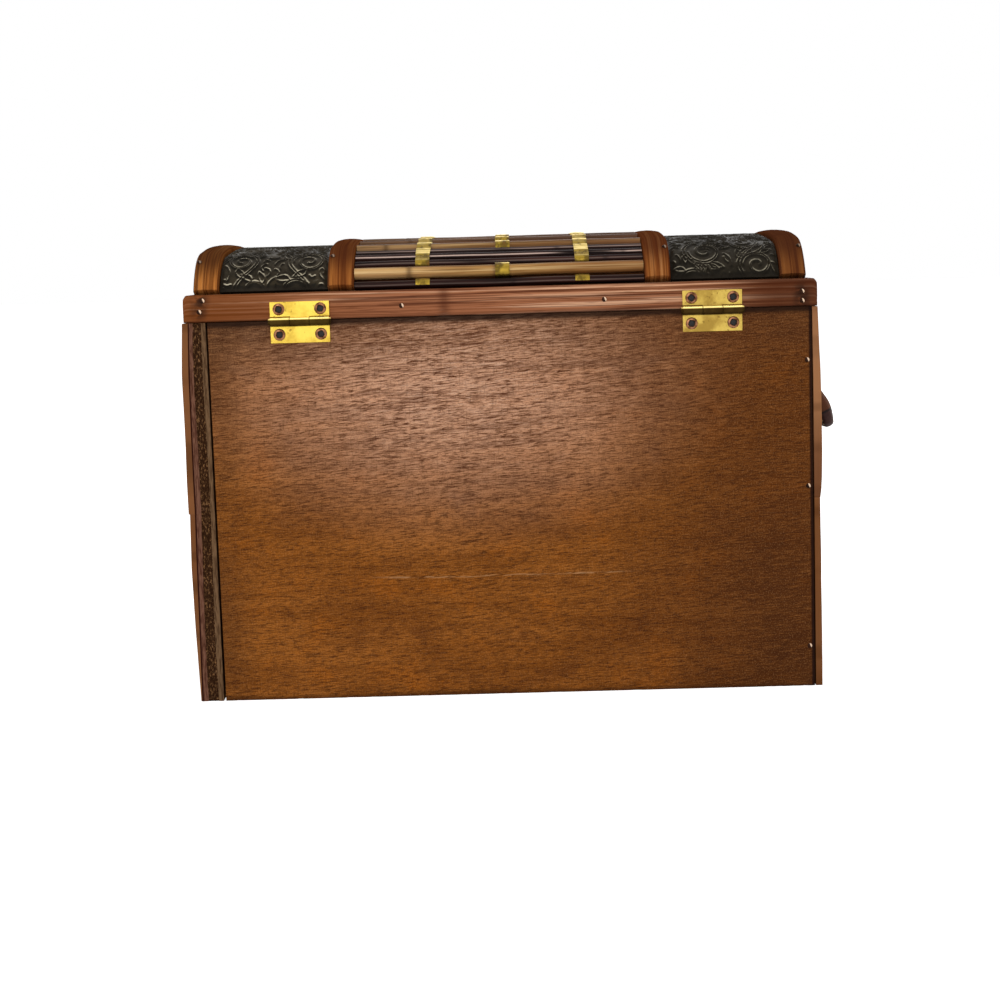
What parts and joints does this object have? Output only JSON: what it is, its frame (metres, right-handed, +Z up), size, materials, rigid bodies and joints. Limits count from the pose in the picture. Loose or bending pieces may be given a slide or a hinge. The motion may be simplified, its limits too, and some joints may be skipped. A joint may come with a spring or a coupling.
{
  "type": "treasure chest",
  "caption": "Small rectangular chest with a hinged barrel lid, bamboo trim, embossed leather bays, a woven cane and brass band, drop handles and a swing hook.",
  "frame": {"origin": "middle of the box's underside, on the surface that the chest stands on", "axes": "+Z up, -Y towards the front with the hook, +Y towards the hinged back, X along the width"},
  "size_m": [0.3435, 0.1867, 0.236],
  "materials": {
    "plywood": "red-brown stained plywood, satin",
    "bamboo": "stained split bamboo, satin",
    "lid_rail": "red-brown stained bamboo, satin",
    "leather": "dark embossed leather, rubbed ridges",
    "handle_leather": "dark brown stitched leather",
    "cane": "olive-tan bamboo cane, satin",
    "reed": "smoked near-black reed",
    "brass": "bright plated brass",
    "brass_strip": "thin rolled brass",
    "screw": "copper-toned screw heads",
    "nail": "bare steel nails"
  },
  "bodies": {
    "chest": {"back_panel": "plywood", "box_nails": "nail", "bracket_screws": "screw", "floor_panel": "plywood", "front_bottom_rail": "bamboo", "front_left_leather": "leather", "front_mat_canes": "cane", "front_mat_reeds": "reed", "front_mat_strips": "brass_strip", "front_panel": "plywood", "front_right_leather": "leather", "front_strap_1": "bamboo", "front_strap_2": "bamboo", "front_strap_3": "bamboo", "front_strap_4": "bamboo", "front_top_rail": "bamboo", "hinge_box_screws": "screw", "hinge_pins": "brass", "hook_plate": "brass", "left_handle_brackets": "brass", "left_handle_pins": "brass", "left_hinge_box_leaf": "brass", "left_panel": "plywood", "left_side_leather": "leather", "lower_corner_slats": "bamboo", "right_handle_brackets": "brass", "right_handle_pins": "brass", "right_hinge_box_leaf": "brass", "right_panel": "plywood", "right_side_leather": "leather", "side_bottom_rails": "bamboo", "side_top_rails": "bamboo", "upper_corner_slats": "bamboo"},
    "lid": {"lid_skin": "plywood", "lid_left_end": "plywood", "lid_right_end": "plywood", "lid_battens": "plywood", "lid_back_rail": "lid_rail", "lid_front_rail": "lid_rail", "lid_side_rails": "lid_rail", "lid_rib_1": "bamboo", "lid_rib_2": "bamboo", "lid_rib_3": "bamboo", "lid_rib_4": "bamboo", "lid_left_leather": "leather", "lid_right_leather": "leather", "lid_left_end_leather": "leather", "lid_right_end_leather": "leather", "lid_mat_canes": "cane", "lid_mat_reeds": "reed", "lid_mat_strips": "brass_strip", "left_hinge_lid_leaf": "brass", "right_hinge_lid_leaf": "brass", "hinge_lid_screws": "screw", "lid_nails": "nail", "lid_peg": "brass"},
    "left_handle": {"left_handle": "handle_leather"},
    "right_handle": {"right_handle": "handle_leather"},
    "hook": {"latch_hook": "brass"}
  },
  "joints": [
    {"name": "lid_hinge", "type": "hinge", "parent": "chest", "child": "lid", "pos_m": [0, 0.0874, 0.1944], "axis": [-1, 0, 0], "range_deg": [0, 175]},
    {"name": "left_handle_swing", "type": "hinge", "parent": "chest", "child": "left_handle", "pos_m": [-0.1636, 0, 0.151], "axis": [0, 1, 0], "range_deg": [-25, 135]},
    {"name": "right_handle_swing", "type": "hinge", "parent": "chest", "child": "right_handle", "pos_m": [0.1636, 0, 0.151], "axis": [0, -1, 0], "range_deg": [0, 160]},
    {"name": "hook_swing", "type": "hinge", "parent": "chest", "child": "hook", "pos_m": [0, -0.0953, 0.187], "axis": [0, -1, 0], "range_deg": [0, 180]}
  ]
}
